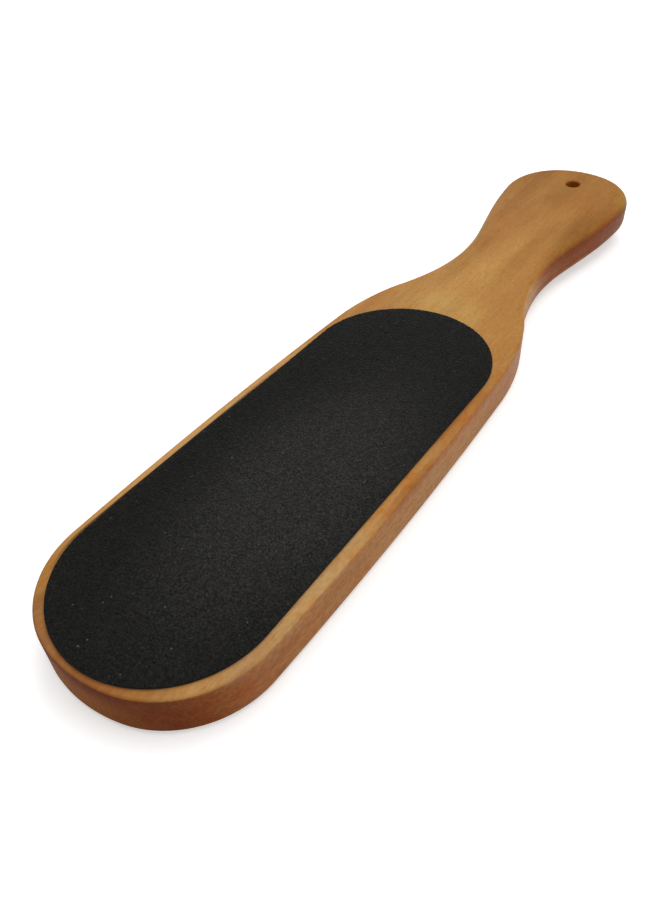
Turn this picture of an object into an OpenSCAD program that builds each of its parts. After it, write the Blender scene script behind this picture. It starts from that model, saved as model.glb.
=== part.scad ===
// Wooden foot file: a flat paddle with a rounded head, a narrow waist and a gently rising handle.
// A coarse abrasive pad is stuck to the upper face of the head and a fine one to the lower face.
// The head tip is at the low end of X, the handle end at the high end, and +Z is out of the coarse pad.
// The origin is under the middle of the file, level with the face of the fine pad.

/* [Paddle outline] */
// Overall length, from the head tip to the handle end
paddle_length = 252; // [246:0.5:260]
// Greatest width of the head
head_width = 56.4; // [55.6:0.2:60]
// Distance from the head tip to the widest place of the head
head_widest_at = 67; // [62:1:76]
// Radius of the blunt tip of the head
tip_radius = 36.4; // [32:0.2:40]
// Radius of the rounded corners beside the tip
head_corner_radius = 24.7; // [22:0.1:26]
// Radius of the slightly bowed sides of the head
head_side_radius = 1320; // [900:20:1800]
// Radius of the shoulders, where the head runs in to the waist
shoulder_radius = 72; // [60:0.5:90]
// Width of the paddle at the waist
waist_width = 28.7; // [26:0.1:30]
// Distance from the head tip to the waist
waist_at = 181; // [177:0.5:185]
// Radius of the hollow sides of the waist
waist_radius = 70.6; // [60:0.2:78]
// Greatest width of the handle
handle_width = 44.2; // [42.6:0.2:46]
// Angle at which each side of the handle spreads from the waist
handle_flare = 12.2; // [10:0.2:13]
// Radius of the swelling sides of the handle
handle_side_radius = 134; // [100:2:150]
// Radius of the rounded corners of the handle end
handle_corner_radius = 20; // [16:0.2:21]
// Radius of the blunt end of the handle
handle_end_radius = 26.6; // [23:0.2:40]

/* [Paddle section] */
// Thickness of the wood
wood_thickness = 11.2; // [9:0.2:13]
// Rounding of the upper edge of the head
head_top_round = 0.7; // [0.4:0.1:1.3]
// Rounding of the lower edge of the head
head_bottom_round = 1.3; // [0.4:0.1:1.3]
// Rounding of the upper edge of the handle
handle_top_round = 3; // [1:0.1:4]
// Rounding of the lower edge of the handle
handle_bottom_round = 4; // [1:0.1:4.5]
// Height by which the end of the handle stands above the plane of the head
handle_rise = 4.2; // [2:0.1:8]
// Power of the curve in which the handle rises
rise_power = 1.5; // [1.3:0.1:2.5]

/* [Hanging hole] */
// Diameter of the hanging hole
hole_diameter = 5; // [3.6:0.1:7]
// Distance from the middle of the hanging hole to the handle end
hole_from_end = 12.7; // [10:0.1:18]
// Width of the eased edge round each mouth of the hanging hole
hole_ease = 0.5; // [0.2:0.1:1]

/* [Abrasive pads] */
// Width of both pads, whose ends are half circles
pad_width = 50; // [40:0.5:50]
// Length of both pads
pad_length = 139.5; // [120:0.5:140]
// Distance from the head tip to the near end of the pads
pad_margin = 1.4; // [1.4:0.1:3]
// Thickness of the adhesive film under each pad
adhesive_thickness = 0.1; // [0.1:0.05:0.3]
// Thickness of the backing sheet of each pad
backing_thickness = 0.25; // [0.15:0.05:0.5]
// Thickness of the coarse grit coat
coarse_grit_thickness = 0.35; // [0.2:0.05:0.6]
// Thickness of the fine grit coat
fine_grit_thickness = 0.2; // [0.1:0.05:0.4]

/* [Hidden] */

// Largest turn and largest step along the edge between two points of the outline
facet_turn = 4;
facet_step = 4;
// Number of flats in each rounding of the edge
round_flats = 5;
// Overrun of the cuts past the faces that they open
overrun = 1;

// Levels, from the face of the fine pad upwards
wood_bottom = fine_grit_thickness + backing_thickness + adhesive_thickness;
wood_top = wood_bottom + wood_thickness;

// The head stays flat as far as the pads reach, and the handle rises from there
rise_from = pad_margin + pad_length;
hole_at = paddle_length - hole_from_end;

// Centres of the arcs of the outline, with the head tip at zero and the side at +Y.
// Each arc is tangent to the next one.
tip_centre = [tip_radius, 0];
side_centre = [head_widest_at, head_width / 2 - head_side_radius];
waist_centre = [waist_at, waist_width / 2 + waist_radius];
end_centre = [paddle_length - handle_end_radius, 0];
corner_centre = crossing(tip_centre, tip_radius - head_corner_radius,
                         side_centre, head_side_radius - head_corner_radius, -1);
shoulder_centre = crossing(side_centre, head_side_radius - shoulder_radius,
                           waist_centre, waist_radius + shoulder_radius, 1);

// Each side of the handle leaves the waist's arc along a straight line at the flare angle.
// The line is as long as it takes for the arc after it to come out at the width of the handle.
flare_way = [cos(handle_flare), sin(handle_flare)];
flare_normal = [-flare_way[1], flare_way[0]];
flare_from = waist_centre - waist_radius * flare_normal;
flare_length = (handle_width / 2 - handle_side_radius * (1 - flare_way[0]) - flare_from[1]) / flare_way[1];
flare_to = flare_from + flare_length * flare_way;
swell_centre = flare_to - handle_side_radius * flare_normal;
handle_corner_centre = crossing(swell_centre, handle_side_radius - handle_corner_radius,
                                end_centre, handle_end_radius - handle_corner_radius, -1);

// Directions in which each arc hands over to the next, as angles about its centre
tip_to_corner = heading(tip_centre, corner_centre);
corner_to_side = heading(side_centre, corner_centre);
side_to_shoulder = heading(side_centre, shoulder_centre);
shoulder_to_waist = heading(shoulder_centre, waist_centre);
swell_to_corner = heading(swell_centre, handle_corner_centre);
corner_to_end = heading(end_centre, handle_corner_centre);

// Half of the outline, from the head tip to the handle end, as [point, outward normal]
half_outline = concat(
    [[[0, 0], [-1, 0]]],
    arc(tip_centre, tip_radius, 180, tip_to_corner, 1),
    arc(corner_centre, head_corner_radius, tip_to_corner, corner_to_side, 1),
    arc(side_centre, head_side_radius, corner_to_side, side_to_shoulder, 1),
    arc(shoulder_centre, shoulder_radius, side_to_shoulder, shoulder_to_waist, 1),
    arc(waist_centre, waist_radius, shoulder_to_waist - 180, handle_flare - 90, -1),
    straight(flare_from, flare_to, flare_normal),
    arc(swell_centre, handle_side_radius, handle_flare + 90, swell_to_corner, 1),
    arc(handle_corner_centre, handle_corner_radius, swell_to_corner, corner_to_end, 1),
    arc(end_centre, handle_end_radius, corner_to_end, 0, 1)
);

// Point where two circles cross: side is 1 for the one to the left of the line of centres, -1 for the right
function crossing(a, ra, b, rb, side) =
    let (
        gap = norm(b - a),
        along = (ra * ra - rb * rb + gap * gap) / (2 * gap),
        across = sqrt(max(ra * ra - along * along, 0)),
        u = (b - a) / gap
    )
    a + along * u + side * across * [-u[1], u[0]];

// Angle of the line from one point to another
function heading(a, b) = atan2(b[1] - a[1], b[0] - a[0]);

// Points of an arc after its first one, with bulge 1 where the wood is inside it and -1 where it is outside
function arc(centre, radius, from, to, bulge) =
    let (
        sweep = to - from,
        length = radius * abs(sweep) * PI / 180,
        steps = ceil(max(abs(sweep) / facet_turn, length / facet_step))
    )
    [for (i = [1 : steps])
        let (a = from + sweep * i / steps, ray = [cos(a), sin(a)])
        [centre + radius * ray, bulge * ray]];

// Points of a straight line after its first one
function straight(from, to, normal) =
    let (steps = ceil(norm(to - from) / facet_step))
    [for (i = [1 : steps]) [from + (to - from) * i / steps, normal]];

// How far a place lies from the pads towards another one, from 0 to 1, eased at both ends
function eased(x, to) =
    let (s = min(max((x - rise_from) / (to - rise_from), 0), 1))
    s * s * (3 - 2 * s);

function mix(a, b, share) = a + (b - a) * share;
function top_round(x) = mix(head_top_round, handle_top_round, eased(x, waist_at));
function bottom_round(x) = mix(head_bottom_round, handle_bottom_round, eased(x, waist_at));

// Height of the wood's faces above the plane of the head at distance x from the head tip
function rise(x) = handle_rise * pow(max(x - rise_from, 0) / (paddle_length - rise_from), rise_power);

// The rim's section at a place x: each row is [inset from the outline, height above the lower face]
function rim(x) =
    let (t = top_round(x), b = bottom_round(x))
    concat(
        [for (i = [0 : round_flats])
            let (a = 90 * i / round_flats)
            [b * (1 - sin(a)), b * (1 - cos(a))]],
        [for (i = [0 : round_flats])
            let (a = 90 * i / round_flats)
            [t * (1 - cos(a)), wood_thickness - t * (1 - sin(a))]]
    );

// One point of the skin: station along the half outline, row of the rim, side 1 or -1
function skin(station, row, side) =
    let (
        p = half_outline[station][0],
        n = half_outline[station][1],
        r = rim(p[0])[row],
        x = p[0] - r[0] * n[0],
        y = p[1] - r[0] * n[1]
    )
    [x - paddle_length / 2, side * y, wood_bottom + rise(x) + r[1]];

// Flat layer with half circles for ends, between two levels
module pad_layer(from, thickness) {
    r = pad_width / 2;
    near = pad_margin + r - paddle_length / 2;
    far = pad_margin + pad_length - r - paddle_length / 2;
    translate([0, 0, from]) {
        translate([near, 0, 0])
            cylinder(h = thickness, r = r, $fn = 96);
        translate([far, 0, 0])
            cylinder(h = thickness, r = r, $fn = 96);
        translate([near, -r, 0])
            cube([far - near, pad_width, thickness]);
    }
}

// The wood before the hole is drilled, lofted round its rim
module paddle_body() {
    last = len(half_outline) - 1;
    rows = 2 * round_flats + 2;
    around = 2 * last;
    // Stations run up the +Y side and come back down the -Y side
    points = [for (row = [0 : rows - 1], k = [0 : around - 1])
        k <= last ? skin(k, row, 1) : skin(around - k, row, -1)];
    function at(row, k) = row * around + k % around;
    rim_faces = [for (row = [0 : rows - 2], k = [0 : around - 1], half = [0, 1])
        half == 0 ? [at(row, k), at(row, k + 1), at(row + 1, k + 1)]
                  : [at(row, k), at(row + 1, k + 1), at(row + 1, k)]];
    low_faces = [for (k = [1 : last - 2])
        [at(0, k + 1), at(0, k), at(0, around - k), at(0, around - k - 1)]];
    high_faces = [for (k = [1 : last - 2])
        [at(rows - 1, k), at(rows - 1, k + 1), at(rows - 1, around - k - 1), at(rows - 1, around - k)]];
    tips = [
        [at(0, 1), at(0, 0), at(0, around - 1)],
        [at(0, last), at(0, last - 1), at(0, last + 1)],
        [at(rows - 1, 0), at(rows - 1, 1), at(rows - 1, around - 1)],
        [at(rows - 1, last - 1), at(rows - 1, last), at(rows - 1, last + 1)]
    ];
    polyhedron(points = points, faces = concat(rim_faces, low_faces, high_faces, tips), convexity = 4);
}

// Drilled hole with an eased edge at each mouth
module hanging_hole() {
    r = hole_diameter / 2;
    low = wood_bottom + rise(hole_at);
    high = low + wood_thickness;
    translate([hole_at - paddle_length / 2, 0, 0]) {
        translate([0, 0, low - overrun])
            cylinder(h = wood_thickness + 2 * overrun, r = r, $fn = 48);
        translate([0, 0, high - hole_ease])
            cylinder(h = hole_ease + overrun, r1 = r, r2 = r + hole_ease + overrun, $fn = 48);
        translate([0, 0, low - overrun])
            cylinder(h = hole_ease + overrun, r1 = r + hole_ease + overrun, r2 = r, $fn = 48);
    }
}

module wooden_paddle() {
    color([0.72, 0.53, 0.32])
        difference() {
            paddle_body();
            hanging_hole();
        }
}

module coarse_adhesive() {
    color([0.62, 0.58, 0.50])
        pad_layer(wood_top, adhesive_thickness);
}

module coarse_backing() {
    color([0.20, 0.19, 0.19])
        pad_layer(wood_top + adhesive_thickness, backing_thickness);
}

module coarse_grit() {
    color([0.13, 0.13, 0.14])
        pad_layer(wood_top + adhesive_thickness + backing_thickness, coarse_grit_thickness);
}

module fine_adhesive() {
    color([0.62, 0.58, 0.50])
        pad_layer(fine_grit_thickness + backing_thickness, adhesive_thickness);
}

module fine_backing() {
    color([0.20, 0.19, 0.19])
        pad_layer(fine_grit_thickness, backing_thickness);
}

module fine_grit() {
    color([0.16, 0.16, 0.17])
        pad_layer(0, fine_grit_thickness);
}

wooden_paddle();
coarse_adhesive();
coarse_backing();
coarse_grit();
fine_adhesive();
fine_backing();
fine_grit();
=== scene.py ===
"""Wooden foot file with an abrasive pad on each face, dressed for rendering.

Lengths are in metres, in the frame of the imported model: +X runs from the head tip to the handle
end, +Y to the side and +Z up out of the coarse pad.
"""
import cmath
import math
import random

import bmesh
import bpy
from bpy.props import FloatProperty, FloatVectorProperty, IntProperty, PointerProperty
from bpy.types import Operator, Panel, PropertyGroup
from mathutils import Matrix, Vector


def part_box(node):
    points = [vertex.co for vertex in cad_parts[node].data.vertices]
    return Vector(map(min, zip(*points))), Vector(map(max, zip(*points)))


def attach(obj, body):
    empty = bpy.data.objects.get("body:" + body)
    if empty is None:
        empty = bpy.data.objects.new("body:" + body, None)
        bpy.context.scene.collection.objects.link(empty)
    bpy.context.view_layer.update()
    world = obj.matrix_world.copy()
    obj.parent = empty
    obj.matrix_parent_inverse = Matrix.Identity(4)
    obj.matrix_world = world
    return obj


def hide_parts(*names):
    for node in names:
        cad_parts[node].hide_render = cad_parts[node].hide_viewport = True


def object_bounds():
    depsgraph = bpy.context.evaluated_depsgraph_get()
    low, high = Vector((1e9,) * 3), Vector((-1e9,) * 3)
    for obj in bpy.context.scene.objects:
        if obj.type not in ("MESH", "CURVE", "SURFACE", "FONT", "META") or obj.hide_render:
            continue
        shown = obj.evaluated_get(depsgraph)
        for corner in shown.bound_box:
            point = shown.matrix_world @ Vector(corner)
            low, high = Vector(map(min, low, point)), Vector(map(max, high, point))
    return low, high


bl_info = {
    "name": "Wooden Foot File",
    "version": (1, 0, 0),
    "blender": (4, 5, 0),
    "location": "View3D > Sidebar > Foot File",
    "description": "Builds the wooden paddle, the grit coats and the finishes of a foot file",
    "category": "Add Mesh",
}

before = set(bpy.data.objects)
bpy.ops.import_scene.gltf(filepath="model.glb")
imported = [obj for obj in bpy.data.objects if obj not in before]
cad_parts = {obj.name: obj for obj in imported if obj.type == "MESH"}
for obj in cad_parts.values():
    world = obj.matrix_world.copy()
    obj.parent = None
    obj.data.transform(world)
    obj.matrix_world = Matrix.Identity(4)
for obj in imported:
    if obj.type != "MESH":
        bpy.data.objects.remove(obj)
CAD_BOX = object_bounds()
COARSE_LOW, COARSE_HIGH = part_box("coarse_grit")
FINE_LOW, FINE_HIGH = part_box("fine_grit")
WOOD_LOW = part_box("wooden_paddle")[0]
BODY = "root"

POINT_MERGE = 1e-7                # points closer than this are one point
SEAM_MERGE = 1e-6                 # the same where the two halves of the paddle meet
STATION_TURN = math.radians(2.5)  # largest turn of the outline between two stations
STATION_STEP = 0.0012             # largest distance between them
RIM_FLATS = 8                     # steps in each rounding of the rim
FACE_LAND = 0.0006                # level strip on each face beside its rounding
MOUTH_FLATS = 6                   # steps in the rounding of each mouth of the hole
HOLE_SIDES = 72
CUT_OVER = 0.002                  # how far the hole's cutter reaches past the wood
FACE_WEIGHT = 80                  # how firmly the large faces hold their own direction
UPRIGHT = (0.15, 0.8)             # tilts between which a face turns into a side
ENDWARD = (0.15, 0.85)            # turns between which a side turns into end grain


def length(name, description, default, **more):
    """A size in metres that the sidebar shows with its unit."""
    return FloatProperty(name=name, description=description, default=default, unit="LENGTH",
                         precision=5, **more)


def angle(name, description, degrees):
    """An angle that the sidebar shows in degrees."""
    return FloatProperty(name=name, description=description, default=math.radians(degrees),
                         subtype="ANGLE")


def colour(name, description, default):
    """A scene-linear colour."""
    return FloatVectorProperty(name=name, description=description, default=default,
                               subtype="COLOR", size=3, min=0.0, max=1.0)


def amount(name, description, default, **more):
    """A plain number without a unit."""
    return FloatProperty(name=name, description=description, default=default, **more)


def power(name, description, default):
    """The power of a lamp, which the sidebar shows in watts."""
    return FloatProperty(name=name, description=description, default=default, unit="POWER")


class FOOTFILE_PG_paddle(PropertyGroup):
    """Sizes of the wooden paddle."""

    paddle_length: length("Length", "From the head tip to the handle end", 0.252)
    head_width: length("Head width", "Width of the head at its widest", 0.0564)
    head_widest_at: length("Widest at", "Distance of the widest place from the head tip", 0.067)
    tip_radius: length("Tip radius", "Radius of the arc over the head tip", 0.0364)
    head_corner_radius: length("Head corners", "Radius from the tip to the sides", 0.0247)
    head_side_radius: length("Head sides", "Radius of the slight swell of the sides", 1.32)
    shoulder_radius: length("Shoulder radius", "Radius where the head narrows", 0.072)
    waist_width: length("Waist width", "Width at the narrowest place", 0.0287)
    waist_at: length("Waist at", "Distance of the narrowest place from the head tip", 0.181)
    waist_radius: length("Waist radius", "Radius of the hollow of the waist", 0.0706)
    handle_width: length("Handle width", "Width of the handle at its widest", 0.0442)
    handle_flare: angle("Handle flare", "Angle at which the sides of the handle widen", 12.2)
    handle_side_radius: length("Handle sides", "Radius of the swell of the handle", 0.134)
    handle_corner_radius: length("Handle corners", "Radius from the sides to the end", 0.02)
    handle_end_radius: length("Handle end", "Radius of the arc over the end", 0.0266)
    wood_thickness: length("Thickness", "Thickness of the wood", 0.0112)
    head_top_round: length("Head upper edge", "Rounding of the head's upper edge", 0.0007)
    head_bottom_round: length("Head lower edge", "Rounding of the head's lower edge", 0.0013)
    handle_top_round: length("Handle upper edge", "Rounding of the handle's upper edge", 0.003)
    handle_bottom_round: length("Handle lower edge", "Rounding of the handle's lower edge", 0.004)
    rise_from: length("Rise from", "Place from which the handle rises", 0.1409)
    handle_rise: length("Handle rise", "How far the handle end rises", 0.0042)
    rise_power: amount("Rise power", "How late the rise sets in", 1.5)
    hole_diameter: length("Hole", "Diameter of the hanging hole", 0.005)
    hole_from_end: length("Hole from end", "From the hole's axis to the handle end", 0.0127)
    hole_ease: length("Hole edge", "Rounding of the hole's mouths", 0.0005)


class FOOTFILE_PG_grit(PropertyGroup):
    """Sizes of the grains on both pads."""

    grain_pitch: length("Grain pitch", "Distance between the grains", 0.0003)
    coarse_relief: length("Coarse relief", "Depth between the coarse grains", 0.00018)
    fine_relief: length("Fine relief", "Depth between the fine grains", 0.00008)
    scatter: amount("Scatter", "How far a grain may sit off its place, in pitches", 0.38)
    seed: IntProperty(name="Seed", description="Start of the random draw of the grains", default=7)


class FOOTFILE_PG_finish(PropertyGroup):
    """Colours of the finishes."""

    wood_light: colour("Light wood", "Wood between the growth rings", (0.506, 0.262, 0.070))
    wood_dark: colour("Dark wood", "Wood in the growth rings", (0.334, 0.154, 0.036))
    wood_edge: colour("Edge wood", "Tint of the sides, which take up more stain",
                      (0.91, 0.745, 0.73))
    wood_end: colour("End grain", "Tint of the end grain", (0.54, 0.335, 0.26))
    # Tints that darken the handle end and, more, the handle's sides.
    handle_end_tone: colour("Handle end", "Tint of the darker wood at the handle end",
                            (0.76, 0.68, 0.60))
    handle_side_tone: colour("Handle sides", "Tint of the handle's sides, which are stained most",
                             (0.74, 0.52, 0.31))
    grit_colour: colour("Grit", "Mineral grain in black resin", (0.0034, 0.0033, 0.0030))
    backing_colour: colour("Backing", "Resin-soaked sheet", (0.016, 0.015, 0.014))
    film_colour: colour("Film", "Adhesive film", (0.16, 0.105, 0.055))


class FOOTFILE_PG_stage(PropertyGroup):
    """Floor, light and camera."""

    floor_colour: colour("Floor", "Pale floor", (0.80, 0.80, 0.80))
    floor_lift: amount("Floor lift", "Light that the camera sees the floor give off", 0.45)
    ambient: amount("Ambient", "Level of the room's even light", 0.34)
    key_level: power("Key", "Power of the soft box above", 13.0)
    side_level: power("Side", "Power of the soft box at the side", 4.5)
    back_level: power("Back", "Power of the soft box behind the handle", 3.5)
    target: FloatVectorProperty(name="Target", description="Point that the camera looks at",
                                default=(-0.051200, -0.005657, 0.01245), subtype="TRANSLATION",
                                precision=6)
    distance: length("Distance", "From the target to the camera", 0.179266)
    azimuth: angle("Azimuth", "Direction of the camera about the target", 217.1655)
    elevation: angle("Elevation", "Height of the camera above the horizon", 41.8242)
    roll: angle("Roll", "Turn of the camera about its line of sight", -3.5618)
    lens: FloatProperty(name="Lens", description="Focal length", default=30.3122, unit="CAMERA")


# Outline of the paddle. Points of the plane are complex numbers, with the head tip at zero.

def crossing(a, ra, b, rb, side):
    """Where two circles cross: side 1 is left of the line from a to b, and side -1 is right."""
    gap = abs(b - a)
    along = (ra * ra - rb * rb + gap * gap) / (2 * gap)
    across = math.sqrt(max(ra * ra - along * along, 0.0))
    return a + (b - a) / gap * complex(along, side * across)


def heading(a, b):
    """Angle of the line from one point to another."""
    return cmath.phase(b - a)


def outline_parts(p):
    """Half the outline in order: its arcs, with the straight flare between two of them.

    An arc is (centre, radius, from, to, bulge), with bulge 1 where the wood lies inside it and -1
    where it lies outside. The flare is (start, stop, outward normal).
    """
    tip = complex(p.tip_radius, 0)
    side = complex(p.head_widest_at, p.head_width / 2 - p.head_side_radius)
    waist = complex(p.waist_at, p.waist_width / 2 + p.waist_radius)
    end = complex(p.paddle_length - p.handle_end_radius, 0)
    corner = crossing(tip, p.tip_radius - p.head_corner_radius,
                      side, p.head_side_radius - p.head_corner_radius, -1)
    shoulder = crossing(side, p.head_side_radius - p.shoulder_radius,
                        waist, p.waist_radius + p.shoulder_radius, 1)
    way = cmath.rect(1.0, p.handle_flare)
    flare_from = waist - p.waist_radius * way * 1j
    flare_rise = p.handle_width / 2 - p.handle_side_radius * (1 - way.real) - flare_from.imag
    flare_to = flare_from + flare_rise / way.imag * way
    swell = flare_to - p.handle_side_radius * way * 1j
    handle_corner = crossing(swell, p.handle_side_radius - p.handle_corner_radius,
                             end, p.handle_end_radius - p.handle_corner_radius, -1)
    to_corner, to_side = heading(tip, corner), heading(side, corner)
    to_shoulder, to_waist = heading(side, shoulder), heading(shoulder, waist)
    to_handle_corner, to_end = heading(swell, handle_corner), heading(end, handle_corner)
    quarter = math.pi / 2
    return [
        (tip, p.tip_radius, math.pi, to_corner, 1),
        (corner, p.head_corner_radius, to_corner, to_side, 1),
        (side, p.head_side_radius, to_side, to_shoulder, 1),
        (shoulder, p.shoulder_radius, to_shoulder, to_waist, 1),
        (waist, p.waist_radius, to_waist - math.pi, p.handle_flare - quarter, -1),
        (flare_from, flare_to, way * 1j),
        (swell, p.handle_side_radius, p.handle_flare + quarter, to_handle_corner, 1),
        (handle_corner, p.handle_corner_radius, to_handle_corner, to_end, 1),
        (end, p.handle_end_radius, to_end, 0.0, 1),
    ]


def swept_half_outline(bm, p):
    """Sweeps one point along half the outline, and gives its stations as (point, normal)."""
    number = bm.verts.layers.int.new("station")
    last = bm.verts.new((0.0, 0.0, 0.0))
    normals = {last: complex(-1, 0)}
    for part in outline_parts(p):
        before = set(bm.verts)
        if len(part) == 3:
            start, stop, normal = part
            steps = math.ceil(abs(stop - start) / STATION_STEP)
            stride = (stop - start) / steps
            out = bmesh.ops.spin(bm, geom=[last], dvec=(stride.real, stride.imag, 0),
                                 axis=(0, 0, 1), angle=0.0, steps=steps)
            for v in set(bm.verts) - before:
                normals[v] = normal
        else:
            centre, radius, start, stop, bulge = part
            turn = stop - start
            steps = math.ceil(max(abs(turn) / STATION_TURN, abs(turn) * radius / STATION_STEP))
            out = bmesh.ops.spin(bm, geom=[last], cent=(centre.real, centre.imag, 0),
                                 axis=(0, 0, 1), angle=turn, steps=steps)
            for v in set(bm.verts) - before:
                ray = complex(v.co.x, v.co.y) - centre
                normals[v] = bulge * ray / abs(ray)
        last = next(g for g in out["geom_last"] if isinstance(g, bmesh.types.BMVert))
    last.co.y = 0.0
    stations = []
    for i, v in enumerate(sorted(bm.verts, key=lambda v: v.co.x)):
        v[number] = i
        stations.append((complex(v.co.x, v.co.y), normals[v]))
    return number, stations


def eased(x, start, stop):
    """Share of the way from start to stop, from 0 to 1, eased at both ends."""
    s = min(max((x - start) / (stop - start), 0.0), 1.0)
    return s * s * (3 - 2 * s)


def rim_rows(p, x):
    """Section of the rim at distance x from the tip: rows of (inset, height), bottom to top."""
    share = eased(x, p.rise_from, p.waist_at)
    top = p.head_top_round + (p.handle_top_round - p.head_top_round) * share
    low = p.head_bottom_round + (p.handle_bottom_round - p.head_bottom_round) * share
    turns = [math.pi / 2 * i / RIM_FLATS for i in range(RIM_FLATS + 1)]
    rows = [(low + FACE_LAND, 0.0)]
    rows += [(low * (1 - math.sin(a)), low * (1 - math.cos(a))) for a in turns]
    rows += [(top * (1 - math.cos(a)), p.wood_thickness - top * (1 - math.sin(a))) for a in turns]
    rows.append((top + FACE_LAND, p.wood_thickness))
    return rows


def grow_row(bm, edges, place, number):
    """Extrudes a row of edges, puts each new point in its place and returns the new row."""
    out = bmesh.ops.extrude_edge_only(bm, edges=edges)
    new = {g for g in out["geom"] if isinstance(g, bmesh.types.BMVert)}
    for v in new:
        v.co = place(v[number], v.co)
    return [g for g in out["geom"] if isinstance(g, bmesh.types.BMEdge)
            and g.verts[0] in new and g.verts[1] in new]


def paddle_blank(p):
    """Level blank of the paddle with its rounded rim, before the hole and the rise."""
    bm = bmesh.new()
    number, stations = swept_half_outline(bm, p)
    sections = [rim_rows(p, point.real) for point, _ in stations]

    def on_row(row):
        def place(i, _):
            (point, normal), (inset, height) = stations[i], sections[i][row]
            at = point - inset * normal
            return Vector((at.real, at.imag, height))
        return place

    first = on_row(0)
    for v in bm.verts:
        v.co = first(v[number], None)
    low_row = row = list(bm.edges)
    for level in range(1, len(sections[0])):
        row = grow_row(bm, row, on_row(level), number)
    for edge_row in (low_row, row):
        grow_row(bm, edge_row, lambda _, co: Vector((co.x, 0.0, co.z)), number)
    bmesh.ops.remove_doubles(bm, verts=bm.verts, dist=POINT_MERGE)
    bmesh.ops.mirror(bm, geom=bm.verts[:] + bm.edges[:] + bm.faces[:], matrix=Matrix.Identity(4),
                     merge_dist=SEAM_MERGE, axis="Y")
    bmesh.ops.recalc_face_normals(bm, faces=bm.faces)
    return bm


def hole_cutter(p):
    """Cutter of the hanging hole: a drilled bore that flares into a rounded mouth at each face."""
    r, ease, top = p.hole_diameter / 2, p.hole_ease, p.wood_thickness
    turns = [math.pi / 2 * i / MOUTH_FLATS for i in reversed(range(MOUTH_FLATS))]
    half = [(r + ease, -CUT_OVER)]
    half += [(r + ease * (1 - math.cos(a)), ease * (1 - math.sin(a))) for a in turns]
    profile = [(0.0, -CUT_OVER)] + half
    profile += [(radius, top - z) for radius, z in reversed(half)] + [(0.0, top + CUT_OVER)]
    bm = bmesh.new()
    centre = Vector((p.paddle_length - p.hole_from_end, 0.0, 0.0))
    verts = [bm.verts.new(centre + Vector((radius, 0.0, z))) for radius, z in profile]
    edges = [bm.edges.new(pair) for pair in zip(verts, verts[1:])]
    bmesh.ops.spin(bm, geom=verts + edges, cent=centre, axis=(0, 0, 1), angle=math.tau,
                   steps=HOLE_SIDES, use_merge=True)
    bmesh.ops.remove_doubles(bm, verts=bm.verts, dist=POINT_MERGE)
    bmesh.ops.recalc_face_normals(bm, faces=bm.faces)
    return bm


def new_object(name, bm):
    """Object in the scene that holds the finished bmesh."""
    mesh = bpy.data.meshes.new(name)
    bm.to_mesh(mesh)
    bm.free()
    obj = bpy.data.objects.new(name, mesh)
    bpy.context.scene.collection.objects.link(obj)
    return obj


def cut_away(obj, cutter):
    """Takes the cutter's shape out of an object for good."""
    cut = obj.modifiers.new("cut", "BOOLEAN")
    cut.operation, cut.solver, cut.object = "DIFFERENCE", "EXACT", cutter
    bpy.context.view_layer.update()
    done = bpy.data.meshes.new_from_object(obj.evaluated_get(bpy.context.evaluated_depsgraph_get()))
    obj.modifiers.remove(cut)
    old, obj.data = obj.data, done
    done.name = obj.name
    bpy.data.meshes.remove(old)
    waste = cutter.data
    bpy.data.objects.remove(cutter)
    bpy.data.meshes.remove(waste)


def put_attribute(mesh, name, values):
    """Stores one number per point for the finishes to read."""
    store = mesh.attributes.new(name, "FLOAT", "POINT")
    store.data.foreach_set("value", values)


def smooth(obj):
    """Smooth shading whose large faces keep their own direction."""
    obj.data.shade_smooth()
    weigh = obj.modifiers.new("weighted normals", "WEIGHTED_NORMAL")
    weigh.mode, weigh.weight, weigh.keep_sharp = "FACE_AREA", FACE_WEIGHT, False


def mark_surfaces(mesh, p):
    """Stores how far each point of the level paddle is side, end grain and bore."""
    hole_x, mouth = p.paddle_length - p.hole_from_end, p.hole_diameter / 2 + p.hole_ease
    side, end_grain, bore = [], [], []
    for v in mesh.vertices:
        level = v.co.z < POINT_MERGE or v.co.z > p.wood_thickness - POINT_MERGE
        in_hole = math.hypot(v.co.x - hole_x, v.co.y) < mouth
        upright = 0.0 if level or in_hole else eased(1 - abs(v.normal.z), *UPRIGHT)
        side.append(upright)
        end_grain.append(upright * eased(abs(v.normal.x), *ENDWARD))
        bore.append(1.0 if in_hole and not level else 0.0)
    put_attribute(mesh, "side", side)
    put_attribute(mesh, "end_grain", end_grain)
    put_attribute(mesh, "bore", bore)


def raise_handle(mesh, p):
    """Puts the level paddle in its place and lifts its handle."""
    reach = p.paddle_length - p.rise_from
    for v in mesh.vertices:
        share = max(v.co.x - p.rise_from, 0.0) / reach
        v.co.z += WOOD_LOW.z + p.handle_rise * share ** p.rise_power
        v.co.x += WOOD_LOW.x
    mesh.update()


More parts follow.
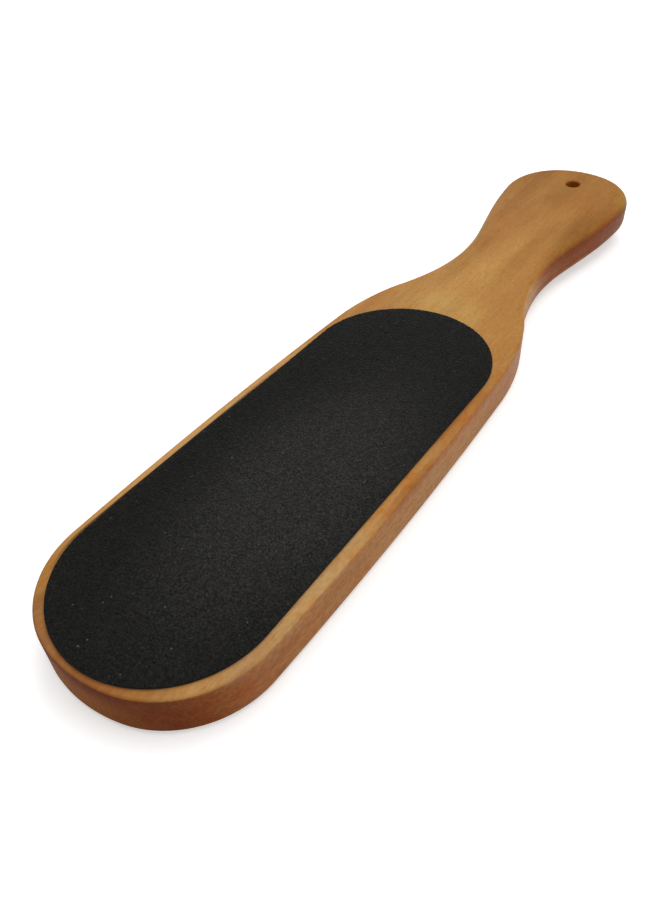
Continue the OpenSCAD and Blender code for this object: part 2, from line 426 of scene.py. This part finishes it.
def grit_coat(low, high, pitch, relief, scatter, seed):
    """Sheet of grains over a pad's box, level at the back and rough at the front.

    The pad's ends are half circles. Each grain inside the edge is moved and lowered at random.
    """
    rng = random.Random(seed)
    r = (high.y - low.y) / 2
    ends = (low.x + r, high.x - r)
    span = high - low
    fit = Matrix.Diagonal((span.x, span.y, 1, 1))
    bm = bmesh.new()
    bmesh.ops.create_grid(bm, x_segments=round(span.x / pitch), y_segments=round(span.y / pitch),
                          size=0.5,
                          matrix=Matrix.Translation(((low.x + high.x) / 2, 0, high.z)) @ fit)

    def off_axis(v):
        """Way to a point from the nearest place on the line between the ends' centres."""
        return complex(v.co.x - min(max(v.co.x, ends[0]), ends[1]), v.co.y)

    bmesh.ops.delete(bm, geom=[v for v in bm.verts if abs(off_axis(v)) > r + pitch / 2],
                     context="VERTS")
    for v in bm.verts:
        if v.is_boundary:
            out = off_axis(v)
            slip = out * (r / abs(out) - 1)
            v.co += Vector((slip.real, slip.imag, 0))
        else:
            v.co += Vector((rng.uniform(-1, 1), rng.uniform(-1, 1), 0)) * scatter * pitch
        v.co.z -= relief * rng.random()
    back = bmesh.ops.extrude_edge_only(bm, edges=[e for e in bm.edges if e.is_boundary])
    for v in back["geom"]:
        if isinstance(v, bmesh.types.BMVert):
            v.co.z = low.z
    bmesh.ops.holes_fill(bm, edges=[e for e in bm.edges if e.is_boundary], sides=0)
    bmesh.ops.recalc_face_normals(bm, faces=bm.faces)
    return bm


def turn_over(bm, low, high):
    """Turns a sheet upside down between its lowest and highest levels."""
    flip = Matrix.Translation((0, 0, low.z + high.z)) @ Matrix.Diagonal((1, 1, -1, 1))
    bmesh.ops.transform(bm, matrix=flip, verts=bm.verts)
    bmesh.ops.reverse_faces(bm, faces=bm.faces)


# Finishes

def material(name):
    """Empty node material with its shader and output."""
    mat = bpy.data.materials.new(name)
    mat.use_nodes = True
    tree = mat.node_tree
    tree.nodes.clear()
    shader = tree.nodes.new("ShaderNodeBsdfPrincipled")
    output = tree.nodes.new("ShaderNodeOutputMaterial")
    tree.links.new(shader.outputs["BSDF"], output.inputs["Surface"])
    return mat, tree, shader


def away_from(point):
    """Move that puts the origin of a pattern at a point."""
    return tuple(-c for c in point)


def times(gain, tone):
    """A colour made lighter or darker by one factor."""
    return tuple(gain * v for v in tone)


PATCH_CORE = 0.25   # share of a patch's radius within which it is whole
SATIN_GLOSS = 0.06  # specular level of the lacquered wood and of the grit


class Weave:
    """Short calls that add nodes to a material and join them."""

    def __init__(self, tree):
        self.tree = tree

    def node(self, kind, sets=None, **inputs):
        made = self.tree.nodes.new(kind)
        for key, value in (sets or {}).items():
            setattr(made, key, value)
        for key, value in inputs.items():
            self.join(value, made.inputs[key.replace("_", " ")])
        return made

    def join(self, value, socket):
        if isinstance(value, bpy.types.NodeSocket):
            self.tree.links.new(value, socket)
        else:
            socket.default_value = value

    def place(self, scale=(1, 1, 1), location=(0, 0, 0)):
        """Object coordinates, moved and then stretched."""
        coords = self.node("ShaderNodeTexCoord").outputs["Object"]
        moved = self.node("ShaderNodeMapping", {"vector_type": "POINT"}, Vector=coords,
                          Location=location)
        return self.node("ShaderNodeMapping", {"vector_type": "POINT"},
                         Vector=moved.outputs["Vector"], Scale=scale).outputs["Vector"]

    def noise(self, where, scale=1.0, detail=2.0, roughness=0.5):
        return self.node("ShaderNodeTexNoise", Vector=where, Scale=scale, Detail=detail,
                         Roughness=roughness).outputs["Fac"]

    def math(self, operation, a, b=0.0):
        made = self.node("ShaderNodeMath", {"operation": operation})
        for value, socket in zip((a, b), made.inputs):
            self.join(value, socket)
        return made.outputs[0]

    def length(self, vector):
        return self.node("ShaderNodeVectorMath", {"operation": "LENGTH"},
                         Vector=vector).outputs["Value"]

    def ramp(self, value, low, high, to_low=0.0, to_high=1.0, kind="SMOOTHSTEP"):
        """Spreads a range of a value over another one, clamped at both ends."""
        made = self.tree.nodes.new("ShaderNodeMapRange")
        made.interpolation_type = kind
        for key, given in zip(("Value", "From Min", "From Max", "To Min", "To Max"),
                              (value, low, high, to_low, to_high)):
            self.join(given, made.inputs[key])
        return made.outputs["Result"]

    def blend(self, share, a, b, kind="MIX"):
        made = self.tree.nodes.new("ShaderNodeMix")
        made.data_type, made.blend_type, made.clamp_factor = "RGBA", kind, True
        self.join(share, made.inputs["Factor"])
        sockets = [s for s in made.inputs if s.type == "RGBA"]
        for value, socket in zip((a, b), sockets):
            self.join(value if isinstance(value, bpy.types.NodeSocket) else (*value, 1.0), socket)
        return next(s for s in made.outputs if s.type == "RGBA")

    def patch(self, centre, radii, stray=0.0):
        """1 round a place of the object, easing to 0 at an oval of these radii."""
        near = self.place(scale=tuple(1 / r for r in radii), location=away_from(centre))
        return self.ramp(self.math("ADD", self.length(near), stray), PATCH_CORE, 1.0, 1.0, 0.0)

    def attribute(self, name):
        return self.node("ShaderNodeAttribute", {"attribute_name": name,
                                                 "attribute_type": "GEOMETRY"}).outputs["Fac"]

    def bump(self, height, distance, strength):
        return self.node("ShaderNodeBump", Height=height, Distance=distance,
                         Strength=strength).outputs["Normal"]


# Places where the wood is painted another tone, as (centre, radii, tone), in metres. Most are the
# wood's own colour; those marked are painted sheen, painted shade or painted bounce light.
WOOD_TONES_AND_PAINTED_LIGHT = (
    ((0.060, 0.0005, 0.0135), (0.046, 0.0048, 0.0120), (1.10, 1.18, 1.22)),   # light band, neck
    ((0.054, -0.0058, 0.0130), (0.032, 0.0044, 0.0120), (0.88, 0.84, 0.75)),  # streak beside it
    ((0.050, 0.0098, 0.0130), (0.026, 0.0052, 0.0120), (0.87, 0.85, 0.75)),   # the other side
    # Painted shade: the handle's near edge is painted darker where its rounding turns from the
    # light.
    ((0.080, -0.0155, 0.0140), (0.036, 0.0058, 0.0080), (0.82, 0.76, 0.62)),  # handle's near edge
    ((0.018, 0.0030, 0.0118), (0.015, 0.0200, 0.0080), (1.04, 1.18, 1.22)),   # pale by the pad
    ((0.112, 0.0080, 0.0155), (0.018, 0.0120, 0.0080), (1.08, 1.18, 1.20)),   # pale by the hole
    ((-0.122, 0.0030, 0.0118), (0.018, 0.0260, 0.0050), (0.78, 0.71, 0.92)),  # dark tip margin
    ((-0.124, -0.0060, 0.0118), (0.010, 0.0100, 0.0050), (0.93, 0.82, 0.70)),  # warm place in it
    ((-0.022, -0.0264, 0.0118), (0.028, 0.0036, 0.0040), (0.86, 0.70, 0.58)),  # orange margin
    ((-0.050, -0.0276, 0.0118), (0.020, 0.0016, 0.0040), (0.78, 0.64, 0.56)),  # dark line by it
    ((-0.056, -0.0264, 0.0118), (0.016, 0.0040, 0.0040), (1.02, 0.94, 0.90)),  # orange again
    # Painted sheen: the near corner's margin, and where it turns, are painted paler and bluer.
    ((-0.088, -0.0262, 0.0118), (0.036, 0.0080, 0.0040), (1.06, 1.22, 1.75)),  # pale near corner
    ((-0.113, -0.0205, 0.0118), (0.018, 0.0080, 0.0050), (1.04, 1.11, 1.35)),  # where it turns
    # Painted sheen: the far margin is painted paler and bluer.
    ((-0.062, 0.0275, 0.0118), (0.066, 0.0050, 0.0040), (1.20, 1.32, 1.75)),  # pale far margin
    # Painted sheen: the near side's wall is painted paler and bluer.
    ((-0.042, -0.0290, 0.0060), (0.050, 0.0060, 0.0100), (1.10, 1.28, 1.56)),  # pale side
    ((-0.112, -0.0240, 0.0060), (0.022, 0.0140, 0.0090), (0.88, 0.76, 0.80)),  # dark corner side
    # Painted bounce light: the tip's side is painted lighter and warmer.
    ((-0.128, 0.0040, 0.0040), (0.020, 0.0220, 0.0080), (1.41, 1.82, 0.94)),  # warm tip side
    # Painted shade: the handle's side is painted darker along the rounding of its upper edge.
    ((0.084, -0.0195, 0.0120), (0.028, 0.0060, 0.0032), (0.90, 0.77, 0.62)),  # dark handle side
    # Painted bounce light: the end of the handle's side is painted lighter.
    ((0.112, -0.0195, 0.0110), (0.014, 0.0080, 0.0060), (1.02, 1.50, 1.05)),  # its warm end
)

# Painted sheen on the wall of the waist, as (centre, radii, tone), which paints the wall paler than
# the edge above it.
PAINTED_WAIST_SHEEN = ((0.038, -0.0162, 0.0096), (0.018, 0.0080, 0.008), (1.22, 1.68, 2.25))

# Near margin, as (centre, radii), where the wood is most mottled.
MOTTLED_MARGIN = ((-0.045, -0.0270, 0.0118), (0.080, 0.0080, 0.006))

# Painted shadow of the coarse pad: a dark line on the wood along its far edge, about a (centre,
# radii).
PAD_SHADOW_PLACE = ((-0.072, 0.0260, 0.0118), (0.052, 0.0080, 0.006))
PAD_SHADOW_SHIFT = 0.0006             # how far along Y the line stands off
PAD_SHADOW_FADE = (0.0003, 0.0007)    # distances from the pad between which the line fades
PAD_SHADOW_TONE = (0.012, 0.009, 0.006)

# Fineness of the wood's noises per metre: along the grain, across it and through the thickness.
WANDER, STREAK, CLOUD, STRAY = (7, 40, 40), (6, 95, 95), (30, 55, 55), (28, 170, 170)
FIBRE, PORE = (70, 1900, 1900), (300, 3800, 3800)
MOTTLE, FLECK = (190, 330, 330), (700, 1500, 1500)

# Growth rings about the heart of the tree, which ran along X beside and below the paddle.
HEART = (0, -0.017, -0.05)
RING_SPACING = 0.0034
RING_WANDER = 0.006
RING_CREST = 0.92   # share of a ring at which it is darkest

# Tints that the parts of the wood's pattern multiply in.
CLOUD_TINT, FIBRE_TINT, PORE_TINT = (0.80, 0.60, 0.46), (0.55, 0.42, 0.34), (0.42, 0.28, 0.20)
WARM_MOTTLE, PALE_MOTTLE, FLECK_TINT = (1.00, 0.82, 0.60), (0.98, 1.08, 1.28), (0.78, 0.72, 0.66)
# The bore's tint is partly the end grain's own warmer colour, and partly painted light that
# lightens the shade inside the hole.
BORE_TONE_AND_LIGHT = (1.20, 0.88, 0.70)

# Places along X between which the handle end turns darker, and its sides darker still.
DARK_END = (0.045, 0.118)
DARKER_HANDLE_SIDES = (0.046, 0.061)


def pad_gap(w, shift):
    """Distance outside the coarse pad's outline, moved by a shift along Y."""
    r = (COARSE_HIGH.y - COARSE_LOW.y) / 2
    spot = w.node("ShaderNodeSeparateXYZ", Vector=w.place(location=(0, -shift, 0))).outputs
    between = w.node("ShaderNodeClamp", Value=spot["X"], Min=COARSE_LOW.x + r,
                     Max=COARSE_HIGH.x - r).outputs["Result"]
    away = w.node("ShaderNodeCombineXYZ", X=w.math("SUBTRACT", spot["X"], between), Y=spot["Y"])
    return w.math("SUBTRACT", w.length(away.outputs["Vector"]), r)


def lacquered_wood(c):
    """Satin-lacquered light wood with straight grain along X."""
    mat, tree, shader = material("satin_lacquered_wood")
    w = Weave(tree)

    wander = w.noise(w.place(scale=WANDER), detail=1.0)
    spot = w.node("ShaderNodeSeparateXYZ", Vector=w.place(location=away_from(HEART))).outputs
    radius = w.math("SQRT", w.math("ADD", w.math("POWER", spot["Y"], 2.0),
                                   w.math("POWER", spot["Z"], 2.0)))
    wavering = w.math("ADD", radius, w.math("MULTIPLY", wander, RING_WANDER))
    phase = w.math("FRACT", w.math("DIVIDE", wavering, RING_SPACING))
    ring = w.math("MULTIPLY", w.ramp(phase, 0.1, RING_CREST), w.ramp(phase, 1.0, RING_CREST))
    streak = w.noise(w.place(scale=STREAK))
    cloud = w.noise(w.place(scale=CLOUD))
    fibre = w.noise(w.place(scale=FIBRE), detail=3.0, roughness=0.65)
    pore = w.ramp(w.noise(w.place(scale=PORE), detail=1.0), 0.66, 0.76)
    mottle = w.noise(w.place(scale=MOTTLE), detail=3.0, roughness=0.6)
    fleck = w.noise(w.place(scale=FLECK), roughness=0.6)
    along = w.node("ShaderNodeSeparateXYZ", Vector=w.place()).outputs["X"]
    side, end_grain = w.attribute("side"), w.attribute("end_grain")

    def tinted(share, tone):
        return w.blend(share, base, tuple(tone), "MULTIPLY")

    depth = w.math("ADD", w.math("MULTIPLY", ring, 0.16), w.ramp(streak, 0.32, 0.72, 0.10, 0.48))
    base = w.blend(depth, tuple(c.wood_light), tuple(c.wood_dark))
    base = tinted(w.ramp(cloud, 0.38, 0.70, 0.0, 0.35), CLOUD_TINT)
    base = tinted(w.ramp(fibre, 0.3, 0.75, 0.0, 0.22), FIBRE_TINT)
    base = tinted(w.math("MULTIPLY", pore, 0.35), PORE_TINT)
    mottled = w.ramp(w.math("MAXIMUM", w.patch(*MOTTLED_MARGIN), side), 0.0, 1.0, 0.4, 1.0)
    base = tinted(w.ramp(mottle, 0.50, 0.68, 0.0, mottled), WARM_MOTTLE)
    base = tinted(w.ramp(mottle, 0.50, 0.32, 0.0, mottled), PALE_MOTTLE)
    flecked = w.ramp(side, 0.0, 1.0, 0.5, 1.0)
    base = tinted(w.ramp(fleck, 0.35, 0.68, 0.0, flecked), FLECK_TINT)
    base = tinted(w.ramp(along, *DARK_END), c.handle_end_tone)
    stray = w.math("MULTIPLY", w.math("SUBTRACT", w.noise(w.place(scale=STRAY)), 0.5), 0.7)
    # Tints of the wood's own colour, with painted sheen, painted shade and painted bounce light
    # among them.
    for centre, radii, tone in WOOD_TONES_AND_PAINTED_LIGHT:
        base = tinted(w.patch(centre, radii, stray), tone)
    # Painted sheen: the wall of the waist is painted paler and bluer.
    centre, radii, tone = PAINTED_WAIST_SHEEN
    on_wall = w.ramp(side, 0.05, 0.5)
    base = tinted(w.math("MULTIPLY", on_wall, w.patch(centre, radii, stray)), tone)
    base = tinted(side, c.wood_edge)
    base = tinted(w.math("MULTIPLY", side, w.ramp(along, *DARKER_HANDLE_SIDES)), c.handle_side_tone)
    base = tinted(end_grain, c.wood_end)
    # Partly the bore's own colour, partly painted light against the shade in the hole.
    base = tinted(w.attribute("bore"), BORE_TONE_AND_LIGHT)
    # Painted shadow: a dark line on the wood just beyond the coarse pad's far edge.
    line = w.ramp(pad_gap(w, PAD_SHADOW_SHIFT), *PAD_SHADOW_FADE, 1.0, 0.0)
    base = w.blend(w.math("MULTIPLY", line, w.patch(*PAD_SHADOW_PLACE)), base, PAD_SHADOW_TONE)
    w.join(base, shader.inputs["Base Color"])

    w.join(w.ramp(w.math("ADD", fibre, end_grain), 0.2, 1.4, 0.38, 0.62),
           shader.inputs["Roughness"])
    shader.inputs["IOR"].default_value = 1.45
    shader.inputs["Specular IOR Level"].default_value = SATIN_GLOSS
    relief = w.math("SUBTRACT", w.math("MULTIPLY", fibre, 0.5), pore)
    w.join(w.bump(relief, 0.00003, 0.6), shader.inputs["Normal"])
    return mat


# Middle of the pads, as (centre, radii), painted this many times paler: partly wear from use,
# partly a painted sheen.
GRIT_WEAR_AND_SHEEN = ((-0.065, -0.007, 0.0062), (0.066, 0.030, 0.060))
WEAR_AND_SHEEN_GAIN = 2.6

# Size of the grains of the two pads, and the share of them painted as glints.
COARSE_GRAIN, FINE_GRAIN = 0.0003, 0.00018
COARSE_SPARKLE, FINE_SPARKLE = 0.10, 0.05
# Painted glints: pale warm or cool grains, and a few bright specks, in the base colour.
WARM_GLINT, COOL_GLINT = (0.052, 0.046, 0.038), (0.034, 0.040, 0.047)
GLINT_SPECKS = (0.9990, 0.9998)           # draws between which a grain turns into a bright speck
GLINT_SPECK_TONE = (0.075, 0.078, 0.078)
PALEST_GRAIN, POLISHED = 3.4, 2.4   # how many times paler than the grit's colour
CLUMPS = (0.76, 1.24)               # darkest and palest clumps of grains
POLISH = (16, 30, 30)               # fineness of the polish, per metre


def black_grit(c, name, grain, sparkle):
    """Dark mineral grains of one size in black resin, of which the share sparkle is painted as
    glints.
    """
    mat, tree, shader = material(name)
    w = Weave(tree)
    cells = w.node("ShaderNodeTexVoronoi", {"feature": "F1"}, Vector=w.place(), Scale=1 / grain)
    draw = w.node("ShaderNodeSeparateColor", Color=cells.outputs["Color"]).outputs
    body = w.blend(draw["Red"], tuple(c.grit_colour), times(PALEST_GRAIN, c.grit_colour))
    polish = w.noise(w.place(scale=POLISH), detail=1.0)
    body = w.blend(w.ramp(polish, 0.35, 0.68, 0.0, 0.6), body, times(POLISHED, c.grit_colour))
    clump = w.ramp(w.noise(w.place(), scale=0.6 / grain), 0.36, 0.64, *CLUMPS)
    shade = w.node("ShaderNodeCombineColor", Red=clump, Green=clump, Blue=clump)
    body = w.blend(1.0, body, shade.outputs["Color"], "MULTIPLY")
    # Wear and painted sheen: the middle of the pads is painted paler, and it takes more of the
    # painted glints.
    wear_and_sheen = w.patch(*GRIT_WEAR_AND_SHEEN)
    body = w.blend(wear_and_sheen, body, (WEAR_AND_SHEEN_GAIN, WEAR_AND_SHEEN_GAIN, WEAR_AND_SHEEN_GAIN), "MULTIPLY")
    # Painted glints: a share of the grains, and a few bright specks, are painted pale.
    glint = w.ramp(draw["Blue"], 1.0 - sparkle, 1.0, 0.0, w.ramp(wear_and_sheen, 0.0, 1.0, 0.25, 0.9))
    body = w.blend(glint, body, w.blend(draw["Green"], WARM_GLINT, COOL_GLINT))
    body = w.blend(w.ramp(draw["Blue"], *GLINT_SPECKS), body, GLINT_SPECK_TONE)
    w.join(body, shader.inputs["Base Color"])
    w.join(w.ramp(draw["Green"], 0.0, 1.0, 0.42, 0.75, "LINEAR"), shader.inputs["Roughness"])
    shader.inputs["Specular IOR Level"].default_value = SATIN_GLOSS
    facets = w.noise(w.place(), scale=1.6 / grain)
    w.join(w.bump(facets, grain * 0.25, 0.8), shader.inputs["Normal"])
    return mat


# Fineness of the backing's cloth and fuzz and of the film's mottle, per metre, and how many times
# paler than their colour the two get.
CLOTH, FUZZ, FILM_MOTTLE = 900.0, 2600.0, 700.0
PALE_BACKING, PALE_FILM = 2.6, 1.5


def resin_sheet(c):
    """Backing sheet of the pads, a woven cloth soaked in dark resin."""
    mat, tree, shader = material("resin_sheet")
    w = Weave(tree)
    cloth = w.node("ShaderNodeTexWave", {"bands_direction": "DIAGONAL"}, Vector=w.place(),
                   Scale=CLOTH, Distortion=1.2, Detail=2.0).outputs["Fac"]
    share = w.math("MULTIPLY", cloth, w.noise(w.place(), scale=FUZZ))
    w.join(w.blend(share, tuple(c.backing_colour), times(PALE_BACKING, c.backing_colour)),
           shader.inputs["Base Color"])
    shader.inputs["Roughness"].default_value = 0.8
    w.join(w.bump(cloth, 0.00004, 0.7), shader.inputs["Normal"])
    return mat


def adhesive_film(c):
    """Thin film of adhesive, which shows as a line under each backing."""
    mat, tree, shader = material("adhesive_film")
    w = Weave(tree)
    mottle = w.noise(w.place(), scale=FILM_MOTTLE, detail=3.0)
    w.join(w.blend(mottle, tuple(c.film_colour), times(PALE_FILM, c.film_colour)),
           shader.inputs["Base Color"])
    w.join(w.ramp(mottle, 0.3, 0.7, 0.25, 0.45), shader.inputs["Roughness"])
    w.join(w.bump(mottle, 0.00002, 0.5), shader.inputs["Normal"])
    return mat


def dress(obj, mat):
    """Gives an object one material."""
    if obj.material_slots:
        for slot in obj.material_slots:
            slot.material = mat
    else:
        obj.data.materials.append(mat)


class FOOTFILE_OT_paddle(Operator):
    """Build the wooden paddle with its rounded rim, hanging hole and rising handle"""

    bl_idname = "footfile.paddle"
    bl_label = "Wooden paddle"

    def execute(self, context):
        p = context.scene.footfile_paddle
        paddle = new_object("lacquered_paddle", paddle_blank(p))
        cut_away(paddle, new_object("hole_cutter", hole_cutter(p)))
        mark_surfaces(paddle.data, p)
        raise_handle(paddle.data, p)
        smooth(paddle)
        dress(paddle, lacquered_wood(context.scene.footfile_finish))
        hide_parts("wooden_paddle")
        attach(paddle, BODY)
        return {"FINISHED"}


class FOOTFILE_OT_grit(Operator):
    """Lay the coat of mineral grains on each pad"""

    bl_idname = "footfile.grit"
    bl_label = "Grit coats"

    def execute(self, context):
        g, c = context.scene.footfile_grit, context.scene.footfile_finish
        coats = (
            ("coarse_grain_coat", "coarse_grit", COARSE_LOW, COARSE_HIGH, g.coarse_relief, 1,
             black_grit(c, "coarse_black_grit", COARSE_GRAIN, COARSE_SPARKLE)),
            ("fine_grain_coat", "fine_grit", FINE_LOW, FINE_HIGH, g.fine_relief, -1,
             black_grit(c, "fine_black_grit", FINE_GRAIN, FINE_SPARKLE)),
        )
        for name, node, low, high, relief, up, mat in coats:
            bm = grit_coat(low, high, g.grain_pitch, relief, g.scatter, g.seed + up)
            if up < 0:
                turn_over(bm, low, high)
            coat = new_object(name, bm)
            dress(coat, mat)
            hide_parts(node)
            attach(coat, BODY)
        return {"FINISHED"}


class FOOTFILE_OT_layers(Operator):
    """Finish the backing sheets and adhesive films under the grit"""

    bl_idname = "footfile.layers"
    bl_label = "Backings and films"

    def execute(self, context):
        c = context.scene.footfile_finish
        sheet, film = resin_sheet(c), adhesive_film(c)
        for node, mat in (("coarse_backing", sheet), ("fine_backing", sheet),
                          ("coarse_adhesive", film), ("fine_adhesive", film)):
            dress(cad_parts[node], mat)
        return {"FINISHED"}


# Soft boxes, as (name, setting of its power, side, place), turned to the middle of the file.
SOFT_BOXES = (
    ("soft_box_above", "key_level", 1.3, (0.25, 0.05, 1.3)),
    ("soft_box_side", "side_level", 0.9, (0.5, -1.1, 0.55)),
    ("soft_box_back", "back_level", 0.6, (0.88, 0.66, 0.86)),
)
FLOOR_RADIUS = 4.0
FLOOR_WHITENS = (0.5, 1.6)     # distances from the file between which the floor turns white
ROOM_DIMS = (0.02, 0.30)       # heights between which the mirrored room dims
SENSOR_WIDTH = 36.0            # millimetres
CLIP = (0.005, 20.0)


def in_gloss(w, rays):
    """1 for the rays that show the room in gloss or through glass, and 0 for the rest."""
    return w.math("MAXIMUM", rays["Is Glossy Ray"], rays["Is Transmission Ray"])


def lay_floor(s):
    """Pale floor that keeps the file's shadow and that the camera sees as white farther off."""
    bm = bmesh.new()
    bmesh.ops.create_circle(bm, cap_ends=True, segments=96, radius=FLOOR_RADIUS,
                            matrix=Matrix.Translation((0, 0, CAD_BOX[0].z)))
    floor = new_object("floor", bm)
    mat, tree, shader = material("pale_floor")
    w = Weave(tree)
    shader.inputs["Base Color"].default_value = (*s.floor_colour, 1.0)
    shader.inputs["Roughness"].default_value = 0.9
    shader.inputs["Specular IOR Level"].default_value = 0.1
    shader.inputs["Emission Color"].default_value = (1, 1, 1, 1)
    rays = w.node("ShaderNodeLightPath").outputs
    seen = w.math("MAXIMUM", rays["Is Camera Ray"], in_gloss(w, rays))
    lift = w.ramp(w.length(w.place()), *FLOOR_WHITENS, s.floor_lift, 1.0)
    w.join(w.math("MULTIPLY", seen, lift), shader.inputs["Emission Strength"])
    dress(floor, mat)


def soft_box(name, energy, size, place):
    """Square soft box at a place, turned to the middle of the file."""
    data = bpy.data.lights.new(name, "AREA")
    data.energy, data.size = energy, size
    lamp = bpy.data.objects.new(name, data)
    lamp.location = place
    lamp.rotation_mode = "QUATERNION"
    lamp.rotation_quaternion = Vector(place).to_track_quat("Z", "Y")
    bpy.context.scene.collection.objects.link(lamp)


def light_room(scene, s):
    """Room that is white to the camera, lights the file evenly and holds the soft boxes."""
    world = bpy.data.worlds.new("studio")
    world.use_nodes = True
    tree = world.node_tree
    tree.nodes.clear()
    w = Weave(tree)
    rays = w.node("ShaderNodeLightPath").outputs
    way = w.node("ShaderNodeSeparateXYZ",
                 Vector=w.node("ShaderNodeTexCoord").outputs["Generated"]).outputs
    mirrored = w.ramp(way["Z"], *ROOM_DIMS, 1.0, s.ambient)
    level = w.ramp(in_gloss(w, rays), 0.0, 1.0, s.ambient, mirrored, "LINEAR")
    level = w.math("MAXIMUM", level, rays["Is Camera Ray"])
    room = w.node("ShaderNodeBackground", Color=(1, 1, 1, 1), Strength=level)
    output = tree.nodes.new("ShaderNodeOutputWorld")
    tree.links.new(room.outputs["Background"], output.inputs["Surface"])
    scene.world = world
    for name, setting, size, place in SOFT_BOXES:
        soft_box(name, getattr(s, setting), size, place)


def aim_camera(scene, s):
    """Camera at a distance, an azimuth and an elevation from its target, turned by its roll."""
    data = bpy.data.cameras.new("camera")
    data.sensor_width, data.lens = SENSOR_WIDTH, s.lens
    data.clip_start, data.clip_end = CLIP
    camera = bpy.data.objects.new("camera", data)
    back = Vector((math.cos(s.elevation) * math.cos(s.azimuth),
                   math.cos(s.elevation) * math.sin(s.azimuth), math.sin(s.elevation)))
    right = (-back).cross(Vector((0, 0, 1))).normalized()
    up = right.cross(-back)
    tilt = Matrix.Rotation(s.roll, 3, back)
    axes = Matrix((tilt @ right, tilt @ up, back)).transposed().to_4x4()
    camera.matrix_world = Matrix.Translation(Vector(s.target) + s.distance * back) @ axes
    scene.collection.objects.link(camera)
    scene.camera = camera


class FOOTFILE_OT_stage(Operator):
    """Set up the pale floor, the soft light and the camera"""

    bl_idname = "footfile.stage"
    bl_label = "Stage"

    def execute(self, context):
        scene, s = context.scene, context.scene.footfile_stage
        lay_floor(s)
        light_room(scene, s)
        aim_camera(scene, s)
        scene.view_settings.view_transform = "Standard"
        return {"FINISHED"}


class FOOTFILE_PT_sidebar(Panel):
    """Lists the pieces of the foot file"""

    bl_idname = "FOOTFILE_PT_sidebar"
    bl_label = "Foot File"
    bl_space_type = "VIEW_3D"
    bl_region_type = "UI"
    bl_category = "Foot File"

    def draw(self, context):
        for operator, group in STEPS:
            box = self.layout.box()
            box.operator(operator.bl_idname)
            settings = getattr(context.scene, group)
            for name in settings.__annotations__:
                box.prop(settings, name)


GROUPS = {
    "footfile_paddle": FOOTFILE_PG_paddle,
    "footfile_grit": FOOTFILE_PG_grit,
    "footfile_finish": FOOTFILE_PG_finish,
    "footfile_stage": FOOTFILE_PG_stage,
}
STEPS = (
    (FOOTFILE_OT_paddle, "footfile_paddle"),
    (FOOTFILE_OT_grit, "footfile_grit"),
    (FOOTFILE_OT_layers, "footfile_finish"),
    (FOOTFILE_OT_stage, "footfile_stage"),
)
CLASSES = (*GROUPS.values(), *(operator for operator, _ in STEPS), FOOTFILE_PT_sidebar)


def register():
    for cls in CLASSES:
        bpy.utils.register_class(cls)
    for name, group in GROUPS.items():
        setattr(bpy.types.Scene, name, PointerProperty(type=group))


def unregister():
    for name in GROUPS:
        delattr(bpy.types.Scene, name)
    for cls in reversed(CLASSES):
        bpy.utils.unregister_class(cls)


def main():
    register()
    bpy.ops.footfile.paddle()
    bpy.ops.footfile.grit()
    bpy.ops.footfile.layers()
    bpy.ops.footfile.stage()


if __name__ == "__main__":
    main()
